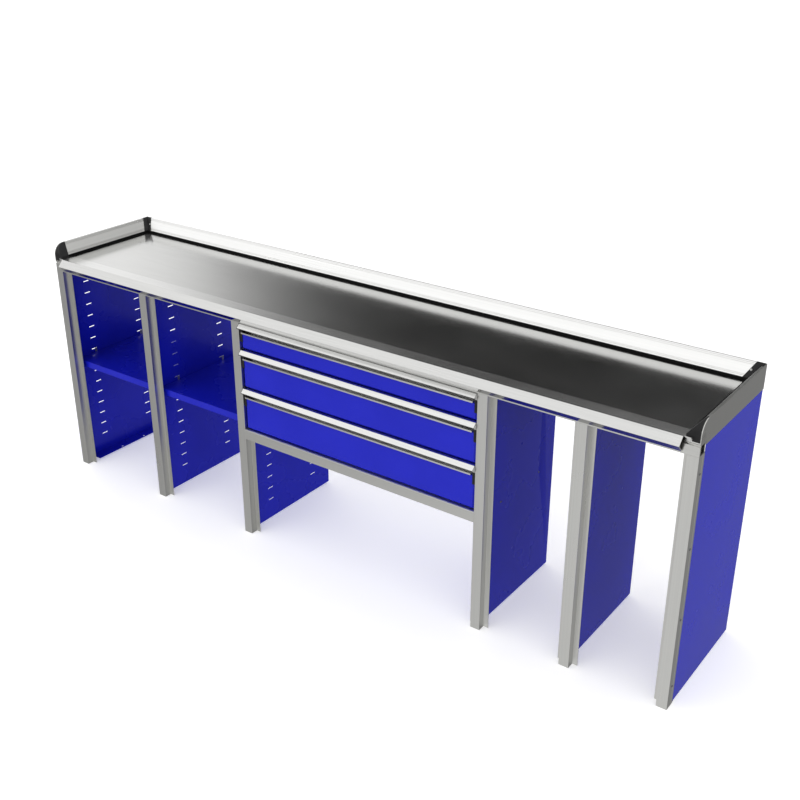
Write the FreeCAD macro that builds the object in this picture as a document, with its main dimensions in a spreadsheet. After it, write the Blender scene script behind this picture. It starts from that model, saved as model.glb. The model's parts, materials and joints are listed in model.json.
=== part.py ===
import FreeCAD, Part
import Sketcher
import math
import os

# Workbench with drawers: a row of aluminium uprights with sheet-steel side panels behind them,
# a stainless worktop with sloped upstands on three sides, two shelves and three drawers.
# Working axes: x from the bench's left face, y back from the uprights' front face, z up from the floor.
# place() moves every piece so that the origin is on the floor, under the middle of the bench.

doc = FreeCAD.newDocument("workbench")
sheet = doc.addObject("Spreadsheet::Sheet", "Sizes")


class Size:
    """A length that carries both its number and its formula on the sheet."""

    def __init__(self, number, formula):
        self.number = float(number)
        self.formula = formula

    def __add__(self, other):
        other = as_size(other)
        return Size(self.number + other.number, f"({self.formula} + {other.formula})")

    def __sub__(self, other):
        other = as_size(other)
        return Size(self.number - other.number, f"({self.formula} - {other.formula})")

    def __mul__(self, other):
        other = as_size(other)
        return Size(self.number * other.number, f"({self.formula} * {other.formula})")

    def __truediv__(self, other):
        other = as_size(other)
        return Size(self.number / other.number, f"({self.formula} / {other.formula})")

    def __radd__(self, other):
        return as_size(other) + self

    def __rsub__(self, other):
        return as_size(other) - self

    def __rmul__(self, other):
        return as_size(other) * self


def as_size(value):
    """Plain numbers join the sums as they are."""
    return value if isinstance(value, Size) else Size(value, repr(float(value)))


def whole(value):
    """The size rounded down to a whole number."""
    return Size(math.floor(value.number), f"floor({value.formula})")


def size(alias, number):
    """Write one driving dimension on the next row of the sheet."""
    row = size.rows = size.rows + 1
    sheet.set(f"A{row}", alias)
    sheet.set(f"B{row}", str(number))
    sheet.setAlias(f"B{row}", alias)
    return Size(number, f"Sizes.{alias}")


size.rows = 0

# Shapes that don't depend on a size
slant = math.sqrt(2)
groove_shares = (0.07, 0.15, 0.80, 0.90)
groove_half = 0.02
tolerance = 0.01
upright_screw_count = 4

# Bays, as the distance from one upright to the next
shelf_bay = size("shelf_bay", 538)
drawer_bay = size("drawer_bay", 1165)
open_bay = size("open_bay", 379.5)

# Uprights: a hollow box with a thin flange at its back
post_width = size("post_width", 40)
post_depth = size("post_depth", 31)
post_wall = size("post_wall", 2.5)
post_height = size("post_height", 980)
flange_reach = size("flange_reach", 20)
channel_depth = size("channel_depth", 13)
channel_width = size("channel_width", 20)
lug_depth = size("lug_depth", 14)
lug_thickness = size("lug_thickness", 1.8)

# Side panels: folded sheet
panel_depth = size("panel_depth", 499)
panel_sheet = size("panel_sheet", 1.5)
panel_foot = size("panel_foot", 8)
panel_offset = size("panel_offset", 22.2)
panel_rise = size("panel_rise", 27)
panel_flange = size("panel_flange", 15)
floor_flange = size("floor_flange", 52)
floor_hole = size("floor_hole", 9)
floor_hole_pitch = size("floor_hole_pitch", 140)
floor_hole_inset = size("floor_hole_inset", 167)
floor_hole_edge = size("floor_hole_edge", 12)
seat_clearance = size("seat_clearance", 0.2)

# Slots in the side panels
slot_length = size("slot_length", 30)
slot_height = size("slot_height", 4)
slot_pitch = size("slot_pitch", 56.2)
slot_first = size("slot_first", 99.5)
slot_top = size("slot_top", 60)
slot_front_inset = size("slot_front_inset", 103)
slot_back_inset = size("slot_back_inset", 113)

# Rails
rail_height = size("rail_height", 40)
rail_depth = size("rail_depth", 40)
rail_wall = size("rail_wall", 2.5)
rail_rebate = size("rail_rebate", 5)
rear_rail_inset = size("rear_rail_inset", 6)
low_rail_height = size("low_rail_height", 45)
low_rail_depth = size("low_rail_depth", 24)
worktop_overhang = size("worktop_overhang", 7.5)

# Worktop
board_thickness = size("board_thickness", 19)
board_setback = size("board_setback", 10)
tray_sheet = size("tray_sheet", 2)
tray_edge = size("tray_edge", 6)
lip_reach = size("lip_reach", 25)
lip_drop = size("lip_drop", 27)
lip_return = size("lip_return", 27)
lip_inset = size("lip_inset", 56)
ledge_width = size("ledge_width", 24)
ledge_drop = size("ledge_drop", 13)

# Upstands round the worktop
side_plate = size("side_plate", 3)
upstand_height = size("upstand_height", 59)
upstand_depth = size("upstand_depth", 41)
upstand_top = size("upstand_top", 6)
upstand_foot = size("upstand_foot", 10)
groove = size("groove", 1.2)
seal_width = size("seal_width", 6)
seal_height = size("seal_height", 9)
corner_proud = size("corner_proud", 1)
corner_top = size("corner_top", 32)
corner_base = size("corner_base", 68)
cap_radius = size("cap_radius", 48)
cap_length = size("cap_length", 37)
cap_lean = size("cap_lean", 19)
plate_hole_inset = size("plate_hole_inset", 27)
plate_hole_height = size("plate_hole_height", 58)
cap_chin = size("cap_chin", 13)
cap_chin_width = size("cap_chin_width", 27)

# Shelves and their clips
shelf_height = size("shelf_height", 532)
shelf_fold = size("shelf_fold", 30)
shelf_sheet = size("shelf_sheet", 1.5)
shelf_gap = size("shelf_gap", 2)
clip_sheet = size("clip_sheet", 1.5)
clip_width = size("clip_width", 12)
clip_ledge = size("clip_ledge", 12)
clip_shift = size("clip_shift", 8)

# Drawers
drawer_gap = size("drawer_gap", 2.5)
drawer_top_gap = size("drawer_top_gap", 1)
drawer_height_1 = size("drawer_height_1", 111.5)
drawer_height_2 = size("drawer_height_2", 168)
drawer_height_3 = size("drawer_height_3", 185)
drawer_side_gap = size("drawer_side_gap", 2)
front_setback = size("front_setback", 6)
front_depth = size("front_depth", 20)
front_sheet = size("front_sheet", 1.5)
front_bevel = size("front_bevel", 10)
front_drop = size("front_drop", 44)
box_back_gap = size("box_back_gap", 59.5)
box_sheet = size("box_sheet", 1.5)
box_lift = size("box_lift", 6)
box_drop = size("box_drop", 22)

# Handles and latch bars
nose_reach = size("nose_reach", 14)
nose_drop = size("nose_drop", 14)
handle_wall = size("handle_wall", 2)
latch_lip = size("latch_lip", 6)
latch_sheet = size("latch_sheet", 1.5)
latch_height = size("latch_height", 33)
latch_reach = size("latch_reach", 6)
latch_clearance = size("latch_clearance", 0.5)
end_block = size("end_block", 14)
end_leg_width = size("end_leg_width", 12)
end_leg_length = size("end_leg_length", 35)

# Telescopic runners and their carriers
carrier_sheet = size("carrier_sheet", 1.5)
carrier_gap = size("carrier_gap", 1.5)
carrier_foot = size("carrier_foot", 24)
carrier_drop = size("carrier_drop", 37)
runner_thickness = size("runner_thickness", 12.5)
runner_height = size("runner_height", 46)
runner_sheet = size("runner_sheet", 1.2)
runner_clearance = size("runner_clearance", 0.5)
runner_end_gap = size("runner_end_gap", 10)
runner_lift = size("runner_lift", 10)
runner_setback = size("runner_setback", 10)

# Fasteners
screw_radius = size("screw_radius", 2.5)
screw_head = size("screw_head", 4.5)
screw_head_height = size("screw_head_height", 1.6)
screw_length = size("screw_length", 6)
screw_inset = size("screw_inset", 24)
screw_clearance = size("screw_clearance", 0.05)
screw_first = size("screw_first", 88)
screw_top = size("screw_top", 67)
carrier_screw_drop = size("carrier_screw_drop", 21)
carrier_screw_top = size("carrier_screw_top", 34)

# Places worked out from the sizes
post_left = [
    as_size(0),
    shelf_bay,
    shelf_bay * 2,
    shelf_bay * 2 + drawer_bay,
    shelf_bay * 2 + drawer_bay + open_bay,
    shelf_bay * 2 + drawer_bay + open_bay * 2,
]
total_length = post_left[5] + post_width
flange_back = post_depth + post_wall
post_back = flange_back + channel_depth
panel_front_middle = flange_back + post_wall + seat_clearance
panel_back = post_back + panel_depth
worktop_back = panel_back + worktop_overhang
rail_top = post_height + rail_height
end_panel_top = post_height + panel_rise
middle_panel_top = post_height
board_top = rail_top + board_thickness
tray_top = board_top + tray_sheet
upstand_crest = tray_top + upstand_height
slot_front = post_back + slot_front_inset
slot_back = panel_back - slot_back_inset
slot_steps = whole((middle_panel_top - slot_first - slot_top) / slot_pitch)
drawer_left = post_left[2] + post_width
drawer_width = drawer_bay - post_width
front_width = drawer_width - drawer_side_gap * 2
carrier_reach = flange_reach + carrier_gap
box_width = drawer_width - (carrier_reach + carrier_sheet + runner_thickness) * 2
drawer_heights = [drawer_height_1, drawer_height_2, drawer_height_3]
drawer_tops = [
    post_height - drawer_top_gap,
    post_height - drawer_top_gap - drawer_height_1 - drawer_gap,
    post_height - drawer_top_gap - drawer_height_1 - drawer_height_2 - drawer_gap * 2,
]
low_rail_top = drawer_tops[2] - drawer_height_3 - drawer_gap
carrier_low = low_rail_top - carrier_drop
screw_pitch = (post_height - screw_first - screw_top) / (upright_screw_count - 1)
carrier_screw_rows = [low_rail_top - carrier_screw_drop, post_height - carrier_screw_top]
box_front = front_setback + front_depth
box_length = panel_back - box_back_gap - box_front
runner_length = box_length - runner_setback - runner_end_gap
clip_slot = slot_first + slot_pitch * (whole((shelf_height - slot_first) / slot_pitch) + 1)
origin_x = total_length / 2
origin_y = (worktop_back - tray_edge - lip_reach) / 2


def bind(thing, name, value):
    """Tie a property to a formula on the sheet, or set a plain value."""
    if isinstance(value, Size):
        thing.setExpression(name, value.formula)
    else:
        setattr(thing, name, value)


def new_body(label):
    body = doc.addObject("PartDesign::Body", label)
    body.Label = label
    return body


def origin_plane(body, role):
    for feature in body.Origin.OriginFeatures:
        if feature.Role == role:
            return feature
    raise ValueError(role)


def place(thing, x, y, z):
    """Put a piece at its place in the bench."""
    bind(thing, "Placement.Base.x", as_size(x) - origin_x)
    bind(thing, "Placement.Base.y", as_size(y) - origin_y)
    bind(thing, "Placement.Base.z", as_size(z))
    return thing


def empty_sketch(body, role, offset=None):
    """A sketch on one of the body's own planes, moved along the plane's normal by offset."""
    sketch = body.newObject("Sketcher::SketchObject", "Outline")
    sketch.AttachmentSupport = (origin_plane(body, role), "")
    sketch.MapMode = "FlatFace"
    if offset is not None:
        bind(sketch, "AttachmentOffset.Base.z", as_size(offset))
    return sketch


def pin_point(sketch, geometry, which, x, y):
    """Hold one point of the sketch at (x, y) from the sketch's origin."""
    for kind, value in (("DistanceX", as_size(x)), ("DistanceY", as_size(y))):
        rule = Sketcher.Constraint(kind, -1, 1, geometry, which, value.number)
        index = sketch.addConstraint(rule)
        sketch.setExpression(f"Constraints[{index}]", value.formula)


def draw_loop(sketch, points):
    """A closed outline of straight lines through the points."""
    corners = [FreeCAD.Vector(as_size(x).number, as_size(y).number, 0) for x, y in points]
    first = sketch.GeometryCount
    count = len(corners)
    for i in range(count):
        sketch.addGeometry(Part.LineSegment(corners[i], corners[(i + 1) % count]))
    for i in range(count):
        rule = Sketcher.Constraint("Coincident", first + i, 2, first + (i + 1) % count, 1)
        sketch.addConstraint(rule)
    for i, (x, y) in enumerate(points):
        pin_point(sketch, first + i, 1, x, y)


def draw_circle(sketch, x, y, radius):
    """A circle held by its centre and radius."""
    radius = as_size(radius)
    centre = FreeCAD.Vector(as_size(x).number, as_size(y).number, 0)
    index = sketch.addGeometry(Part.Circle(centre, FreeCAD.Vector(0, 0, 1), radius.number))
    pin_point(sketch, index, 3, x, y)
    rule = sketch.addConstraint(Sketcher.Constraint("Radius", index, radius.number))
    sketch.setExpression(f"Constraints[{rule}]", radius.formula)


def pad(body, role, loops, length, offset=None):
    """Add material: the loops, extruded along +Z, +Y or +X from their plane."""
    sketch = empty_sketch(body, role, offset)
    for points in loops:
        draw_loop(sketch, points)
    feature = body.newObject("PartDesign::Pad", "Pad")
    feature.Profile = sketch
    feature.Reversed = role == "XZ_Plane"
    bind(feature, "Length", as_size(length))
    sketch.Visibility = False
    return feature


def pocket(body, sketch, length=None, reverse=False):
    """Remove material along the sketch's normal: a depth, or right through both ways."""
    feature = body.newObject("PartDesign::Pocket", "Pocket")
    feature.Profile = sketch
    feature.Reversed = reverse
    if length is None:
        feature.Type = "ThroughAll"
        feature.Midplane = True
    else:
        bind(feature, "Length", as_size(length))
    sketch.Visibility = False
    return feature


def rectangle(x0, y0, x1, y1):
    return [(x0, y0), (x1, y0), (x1, y1), (x0, y1)]


def mirrored(points, width):
    """The same outline seen from the other side of a strip of the given width."""
    return [(width - x, y) for x, y in points]


def handed(points, width, right):
    return mirrored(points, width) if right else points


# Uprights

def upright_outline(kind):
    """The extrusion's section: front box, side flanges and a rear channel for the panel."""
    left_reach = flange_reach if kind != "left" else as_size(0)
    start = left_reach
    box_left = start
    box_right = start + post_width
    tip = box_right + (flange_reach if kind != "right" else as_size(0))
    flange_front = post_depth
    if kind == "middle":
        slot_left = box_left + panel_offset - seat_clearance
        slot_right = slot_left + panel_sheet + seat_clearance * 2
        channel_left = box_left + channel_width / 2
        channel_right = channel_left + channel_width
        return [
            (box_left, 0), (box_right, 0), (box_right, flange_front), (tip, flange_front),
            (tip, flange_back), (channel_right, flange_back), (channel_right, post_back),
            (slot_right, post_back), (slot_right, flange_back + post_wall),
            (slot_left, flange_back + post_wall), (slot_left, post_back),
            (channel_left, post_back), (channel_left, flange_back), (0, flange_back),
            (0, flange_front), (box_left, flange_front),
        ]
    lug_left = panel_sheet
    lug_right = lug_left + lug_thickness
    outline = [
        (0, 0), (post_width, 0), (post_width, flange_front),
        (post_width + flange_reach, flange_front), (post_width + flange_reach, flange_back),
        (channel_width, flange_back), (channel_width, post_back), (lug_right, post_back),
        (lug_right, post_back + lug_depth), (lug_left, post_back + lug_depth),
        (lug_left, post_back), (0, post_back), (0, flange_back), (groove, flange_back - groove),
        (0, flange_back - groove * 2),
    ]
    return handed(outline, post_width + flange_reach, kind == "right")


def upright_bore(kind):
    start = as_size(0) if kind == "left" else flange_reach
    return rectangle(start + post_wall, post_wall, start + post_width - post_wall, post_depth - post_wall)


def upright(number):
    kind = {1: "left", 6: "right"}.get(number, "middle")
    body = new_body(f"upright_{number}")
    pad(body, "XY_Plane", [upright_outline(kind), upright_bore(kind)], post_height)
    start = post_left[number - 1]
    if kind != "left":
        start = start - flange_reach
    if kind != "middle":
        outer = as_size(0) if kind == "left" else flange_reach + post_width
        sketch = empty_sketch(body, "YZ_Plane", outer)
        for i in range(upright_screw_count):
            draw_circle(sketch, screw_inset, screw_first + screw_pitch * i, screw_radius)
        pocket(body, sketch, post_wall, reverse=kind == "left")
    place(body, start, 0, 0)
    return body


# Side panels

def panel_outline(number):
    """The folded sheet in plan: a long wall with a short flange along its back edge."""
    if number == 1 or number == 6:
        outline = [
            (0, post_back), (panel_sheet, post_back), (panel_sheet, panel_back - panel_sheet),
            (panel_sheet + panel_flange, panel_back - panel_sheet),
            (panel_sheet + panel_flange, panel_back), (0, panel_back),
        ]
        return handed(outline, panel_sheet + panel_flange, number == 6)
    wall = panel_flange
    return [
        (wall, panel_front_middle), (wall + panel_sheet, panel_front_middle),
        (wall + panel_sheet, panel_back), (0, panel_back), (0, panel_back - panel_sheet),
        (wall, panel_back - panel_sheet),
    ]


def end_panel(number):
    """An outer panel, with a wide flange along the floor that has two fixing holes."""
    right = number == 6
    height = end_panel_top - panel_foot
    width = panel_sheet + panel_flange
    body = new_body(f"side_panel_{number}")
    pad(body, "XY_Plane", [panel_outline(number)], height)
    foot_left = panel_flange - floor_flange if right else panel_sheet
    foot_front = post_back + lug_depth
    foot = rectangle(foot_left, foot_front, foot_left + floor_flange, panel_back - panel_sheet)
    pad(body, "XY_Plane", [foot], panel_sheet)
    doc.recompute()
    hole_x = foot_left + floor_hole_edge if right else foot_left + floor_flange - floor_hole_edge
    sketch = empty_sketch(body, "XY_Plane")
    for step in range(2):
        draw_circle(sketch, hole_x, post_back + floor_hole_inset + floor_hole_pitch * step, floor_hole / 2)
    pocket(body, sketch)
    if not right:
        cut_slots(body)
    place(body, total_length - width if right else 0, 0, panel_foot)
    return body


def middle_panel(number):
    """An inner panel, folded at its back, top and bottom edges."""
    height = middle_panel_top - panel_foot
    body = new_body(f"side_panel_{number}")
    pad(body, "XY_Plane", [panel_outline(number)], height)
    hem = rectangle(0, post_back + lug_depth, panel_flange, panel_back - panel_sheet)
    pad(body, "XY_Plane", [hem], panel_sheet)
    pad(body, "XY_Plane", [hem], panel_sheet, offset=height - panel_sheet)
    doc.recompute()
    if number in (2, 3):
        cut_slots(body)
    if number in (3, 4):
        cut_carrier_holes(body)
    place(body, post_left[number - 1] + panel_offset - panel_flange, 0, panel_foot)
    return body


def cut_slots(body):
    """Two columns of short level slots, for the shelf clips."""
    sketch = empty_sketch(body, "YZ_Plane")
    low = slot_first - panel_foot - slot_height / 2
    for column in (slot_front, slot_back):
        left = column - slot_length / 2
        draw_loop(sketch, rectangle(left, low, left + slot_length, low + slot_height))
    cut = pocket(body, sketch)
    rows = body.newObject("PartDesign::LinearPattern", "Rows")
    rows.Originals = [cut]
    rows.Direction = (sketch, ["V_Axis"])
    bind(rows, "Length", slot_pitch * slot_steps)
    bind(rows, "Occurrences", slot_steps + 1)
    body.Tip = rows


def cut_carrier_holes(body):
    """The four holes that the runner carriers are screwed to."""
    sketch = empty_sketch(body, "YZ_Plane")
    for column in (slot_front, slot_back):
        for height in carrier_screw_rows:
            draw_circle(sketch, column, height - panel_foot, screw_radius)
    pocket(body, sketch)


# Rails

def front_top_rail():
    """The beam across the front, with a stepped ledge along its top edge."""
    body = new_body("front_top_rail")
    outline = [
        (0, 0), (rail_depth, 0), (rail_depth, rail_height), (rail_rebate, rail_height),
        (rail_rebate, rail_height - rail_rebate), (0, rail_height - rail_rebate),
    ]
    inner = rail_wall + rail_rebate
    bore = rectangle(inner, rail_wall, rail_depth - rail_wall, rail_height - rail_wall)
    pad(body, "YZ_Plane", [outline, bore], total_length)
    place(body, 0, 0, post_height)
    return body


def rear_top_rail():
    body = new_body("rear_top_rail")
    outline = rectangle(0, 0, rail_depth, rail_height)
    bore = rectangle(rail_wall, rail_wall, rail_depth - rail_wall, rail_height - rail_wall)
    pad(body, "YZ_Plane", [outline, bore], total_length - side_plate * 2)
    place(body, side_plate, panel_back - rear_rail_inset - rail_depth, post_height)
    return body


def drawer_bottom_rail():
    body = new_body("drawer_bottom_rail")
    outline = [
        (0, 0), (low_rail_depth, 0), (low_rail_depth, low_rail_height),
        (rail_rebate, low_rail_height), (0, low_rail_height - rail_rebate / 2),
    ]
    bore = rectangle(rail_wall, rail_wall, low_rail_depth - rail_wall, low_rail_height - rail_wall * 2)
    pad(body, "YZ_Plane", [outline, bore], drawer_width)
    place(body, drawer_left, 0, low_rail_top - low_rail_height)
    return body


# Worktop

def quarter_cut(body, height, offset=None):
    """Round off the corner at y = 0 and the given height, right through the piece."""
    sketch = empty_sketch(body, "YZ_Plane", offset)
    radius = cap_radius.number
    top = as_size(height).number
    crown = FreeCAD.Vector(0, top, 0)
    front = FreeCAD.Vector(0, top - radius, 0)
    back = FreeCAD.Vector(radius, top, 0)
    centre = FreeCAD.Vector(radius, top - radius, 0)
    circle = Part.Circle(centre, FreeCAD.Vector(0, 0, 1), radius)
    sketch.addGeometry(Part.LineSegment(front, crown))
    sketch.addGeometry(Part.LineSegment(crown, back))
    sketch.addGeometry(Part.ArcOfCircle(circle, math.pi / 2, math.pi))
    sketch.addConstraint(Sketcher.Constraint("Coincident", 0, 2, 1, 1))
    sketch.addConstraint(Sketcher.Constraint("Coincident", 1, 2, 2, 1))
    sketch.addConstraint(Sketcher.Constraint("Coincident", 2, 2, 0, 1))
    pin_point(sketch, 0, 1, 0, height - cap_radius)
    pin_point(sketch, 0, 2, 0, height)
    pin_point(sketch, 1, 2, cap_radius, height)
    rule = sketch.addConstraint(Sketcher.Constraint("Radius", 2, radius))
    sketch.setExpression(f"Constraints[{rule}]", cap_radius.formula)
    pocket(body, sketch)


def worktop_board():
    body = new_body("worktop_board")
    plan = rectangle(0, 0, total_length - side_plate * 2, worktop_back - board_setback)
    pad(body, "XY_Plane", [plan], board_thickness)
    place(body, side_plate, board_setback, rail_top)
    return body


def worktop_tray():
    """The steel sheet, folded down in front of the board, with a lip that slopes out and back under."""
    body = new_body("worktop_tray")
    width = total_length - side_plate * 2
    nose = tray_edge + lip_reach
    front = nose + board_setback - tray_sheet
    drop = lip_drop + lip_return
    inset = lip_inset - side_plate
    skin = tray_sheet * slant
    sheet_low = drop - tray_sheet
    plan = rectangle(0, front, width, nose + worktop_back)
    pad(body, "XY_Plane", [plan], tray_sheet, offset=sheet_low)
    fold = rectangle(0, front, width, front + tray_sheet)
    pad(body, "XY_Plane", [fold], board_thickness, offset=sheet_low - board_thickness)
    ledge_left = inset - ledge_width
    ledge_right = width - ledge_left
    ledge = rectangle(ledge_left, nose - tray_sheet, ledge_right, front)
    pad(body, "XY_Plane", [ledge], tray_sheet, offset=sheet_low)
    ledge_fold = rectangle(ledge_left, nose - tray_sheet, ledge_right, nose)
    pad(body, "XY_Plane", [ledge_fold], ledge_drop, offset=drop - ledge_drop)
    section = [
        (nose, drop), (lip_reach, drop), (0, lip_return), (lip_return, 0),
        (lip_return, skin), (skin, lip_return), (lip_reach + tray_sheet * (slant - 1), sheet_low),
        (nose, sheet_low),
    ]
    pad(body, "YZ_Plane", [section], width - inset * 2, offset=inset)
    place(body, side_plate, 0 - nose, tray_top - drop)
    return body


def slope_point(share, depth):
    """A point on the upstand's sloped face, a share of the way up, sunk by depth."""
    across = upstand_depth + (upstand_top - upstand_depth) * share - depth
    up = upstand_foot + (upstand_height - upstand_foot) * share - depth
    return (across, up)


def upstand_outline():
    """Sloped section with shallow grooves near its foot and near its crest."""
    outline = [(0, 0), (upstand_depth, 0), slope_point(0, 0)]
    for share in groove_shares:
        outline.append(slope_point(share, 0))
        outline.append(slope_point(share + groove_half, groove))
        outline.append(slope_point(share + groove_half * 2, 0))
    return outline + [slope_point(1, 0), (0, upstand_height)]


def side_upstand(right):
    body = new_body("upstand_right" if right else "upstand_left")
    length = worktop_back - cap_length - corner_top
    outline = handed(upstand_outline(), upstand_depth, right)
    pad(body, "XZ_Plane", [outline], length)
    doc.recompute()
    sketch = empty_sketch(body, "YZ_Plane")
    draw_loop(sketch, [(length - corner_base + corner_top, 0), (length, 0), (length, upstand_height)])
    draw_loop(sketch, [(0, seal_height), (cap_lean, upstand_height), (0, upstand_height)])
    pocket(body, sketch)
    left = total_length - side_plate - upstand_depth if right else side_plate
    place(body, left, cap_length, tray_top)
    return body


def back_upstand():
    body = new_body("upstand_back")
    length = total_length - side_plate * 2 - corner_top * 2
    outline = mirrored(upstand_outline(), upstand_depth)
    pad(body, "YZ_Plane", [outline], length)
    doc.recompute()
    reach = corner_base - corner_top
    sketch = empty_sketch(body, "XZ_Plane")
    draw_loop(sketch, [(0, 0), (reach, 0), (0, upstand_height)])
    draw_loop(sketch, [(length, 0), (length, upstand_height), (length - reach, 0)])
    pocket(body, sketch)
    place(body, side_plate + corner_top, worktop_back - upstand_depth, tray_top)
    return body


def corner_block(right):
    """The plastic corner where two upstands meet, cut back on a slant towards its top."""
    body = new_body("corner_block_right" if right else "corner_block_left")
    crest = upstand_height + corner_proud
    brow = upstand_top + corner_proud
    slope = [
        (0, 0), (upstand_depth, 0), (upstand_depth, upstand_foot), (brow, crest), (0, crest),
    ]
    side_run = handed(slope, corner_base, right)
    pad(body, "XZ_Plane", [side_run], corner_base)
    back_run = mirrored(slope, corner_base)
    pad(body, "YZ_Plane", [back_run], corner_base)
    doc.recompute()
    reach = corner_base - corner_top
    side_cut = empty_sketch(body, "YZ_Plane")
    draw_loop(side_cut, [(0, 0), (reach, upstand_height), (reach, crest * 2), (0, crest * 2)])
    pocket(body, side_cut)
    doc.recompute()
    back_cut = empty_sketch(body, "XZ_Plane")
    wedge = [
        (corner_base, 0), (corner_base - reach, upstand_height),
        (corner_base - reach, crest * 2), (corner_base, crest * 2),
    ]
    draw_loop(back_cut, handed(wedge, corner_base, right))
    pocket(body, back_cut)
    left = total_length - side_plate - corner_base if right else side_plate
    place(body, left, worktop_back - corner_base, tray_top)
    return body


def end_cap(right):
    """The rounded plastic cap on the front end of a side upstand, leaning back over it."""
    body = new_body("end_cap_right" if right else "end_cap_left")
    width = upstand_depth + seal_width
    crest = cap_chin + upstand_height
    seat = cap_chin + seal_height
    section = [(0, cap_chin), (width, cap_chin), (width, seat), (upstand_top, crest), (0, crest)]
    pad(body, "XZ_Plane", [handed(section, width, right)], cap_length + cap_lean)
    chin = rectangle(0, 0, cap_chin_width, cap_chin)
    pad(body, "XZ_Plane", [handed(chin, width, right)], board_setback - tray_sheet)
    doc.recompute()
    quarter_cut(body, crest)
    doc.recompute()
    sketch = empty_sketch(body, "YZ_Plane")
    tip = cap_length + cap_lean
    draw_loop(sketch, [(cap_length, cap_chin), (tip, cap_chin), (tip, crest), (cap_length, seat)])
    pocket(body, sketch)
    left = total_length - side_plate - width if right else side_plate
    place(body, left, 0, tray_top - cap_chin)
    return body


def tray_seal():
    """One rubber strip round the foot of all three upstands."""
    body = new_body("tray_seal")
    width = total_length - side_plate * 2 - upstand_depth * 2
    length = worktop_back - upstand_depth - cap_length
    plan = [
        (0, 0), (seal_width, 0), (seal_width, length - seal_width),
        (width - seal_width, length - seal_width), (width - seal_width, 0), (width, 0),
        (width, length), (0, length),
    ]
    pad(body, "XY_Plane", [plan], seal_height)
    place(body, side_plate + upstand_depth, cap_length, tray_top)
    return body


def side_cover(right):
    """The flat plate over the worktop's end, rounded like the cap at its front corner."""
    body = new_body("side_plate_right" if right else "side_plate_left")
    crest = upstand_crest - end_panel_top
    step = rail_top - end_panel_top
    outline = [
        (0, step), (post_back, step), (post_back, 0), (worktop_back, 0),
        (worktop_back, crest), (0, crest),
    ]
    pad(body, "YZ_Plane", [outline], side_plate)
    doc.recompute()
    quarter_cut(body, crest)
    doc.recompute()
    sketch = empty_sketch(body, "YZ_Plane")
    draw_circle(sketch, plate_hole_inset, plate_hole_height, screw_radius)
    pocket(body, sketch)
    place(body, total_length - side_plate if right else 0, 0, end_panel_top)
    return body


# Shelves

def hollowed(body, solid, normal, thickness):
    """Turn a solid block into a folded sheet, open on the face with the given normal."""
    doc.recompute()
    faces = []
    for i, face in enumerate(solid.Shape.Faces):
        if face.normalAt(0, 0).getAngle(FreeCAD.Vector(*normal)) < tolerance:
            faces.append(f"Face{i + 1}")
    feature = body.newObject("PartDesign::Thickness", "Fold")
    feature.Base = (solid, faces)
    feature.Reversed = True
    feature.Join = 1
    bind(feature, "Value", thickness)
    return feature


def shelf(number):
    body = new_body(f"shelf_{number}")
    if number == 1:
        left = panel_sheet + shelf_gap
    else:
        left = shelf_bay + panel_offset + panel_sheet + shelf_gap
    right = shelf_bay * number + panel_offset - shelf_gap
    front = post_back + shelf_gap
    depth = panel_back - panel_sheet - shelf_gap * 2 - front
    block = pad(body, "XY_Plane", [rectangle(0, 0, right - left, depth)], shelf_fold)
    hollowed(body, block, (0, 0, -1), shelf_sheet)
    place(body, left, front, shelf_height - shelf_fold)
    return body


def shelf_clip(panel_face, column, right):
    """A folded clip: a tongue in the panel's slot and a ledge under the shelf."""
    body = new_body("clip")
    low = shelf_height - shelf_fold - clip_sheet
    tongue = clip_slot - low - slot_height / 4
    width = panel_sheet + clip_sheet + clip_ledge
    outline = [
        (0, tongue), (panel_sheet, tongue), (panel_sheet, 0), (width, 0), (width, clip_sheet),
        (panel_sheet + clip_sheet, clip_sheet), (panel_sheet + clip_sheet, tongue + slot_height / 2),
        (0, tongue + slot_height / 2),
    ]
    pad(body, "XZ_Plane", [handed(outline, width, right)], clip_width)
    shift = 0 - clip_shift if right else clip_shift
    left = panel_face + panel_sheet - width if right else panel_face - panel_sheet
    place(body, left, column + shift - clip_width / 2, low)
    return body


def group(label, members):
    """Several equal pieces that share one node."""
    compound = doc.addObject("Part::Compound", label)
    compound.Label = label
    compound.Links = members
    return compound


def shelf_clips():
    right_faces = [panel_sheet, shelf_bay + panel_offset + panel_sheet]
    left_faces = [shelf_bay + panel_offset, shelf_bay * 2 + panel_offset]
    clips = []
    for column in (slot_front, slot_back):
        for face in right_faces:
            clips.append(shelf_clip(face, column, False))
        for face in left_faces:
            clips.append(shelf_clip(face, column, True))
    return group("shelf_clips", clips)


# Drawers

def edges_where(shape, test):
    return [f"Edge{i + 1}" for i, edge in enumerate(shape.Edges) if test(edge)]


def drawer_front(number):
    """A folded pan with bevelled bottom and side edges, open at its back."""
    body = new_body(f"drawer_front_{number}")
    height = drawer_heights[number - 1] - front_drop
    block = pad(body, "XY_Plane", [rectangle(0, 0, front_width, front_depth)], height)
    doc.recompute()

    def on_front(edge):
        points = [vertex.Point for vertex in edge.Vertexes]
        if max(point.y for point in points) > tolerance:
            return False
        return min(point.z for point in points) < height.number - tolerance

    bevel = body.newObject("PartDesign::Chamfer", "Bevel")
    bevel.Base = (block, edges_where(block.Shape, on_front))
    bind(bevel, "Size", front_bevel)
    hollowed(body, bevel, (0, 1, 0), front_sheet)
    top = drawer_tops[number - 1]
    place(body, drawer_left + drawer_side_gap, front_setback, top - front_drop - height)
    return body


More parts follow.
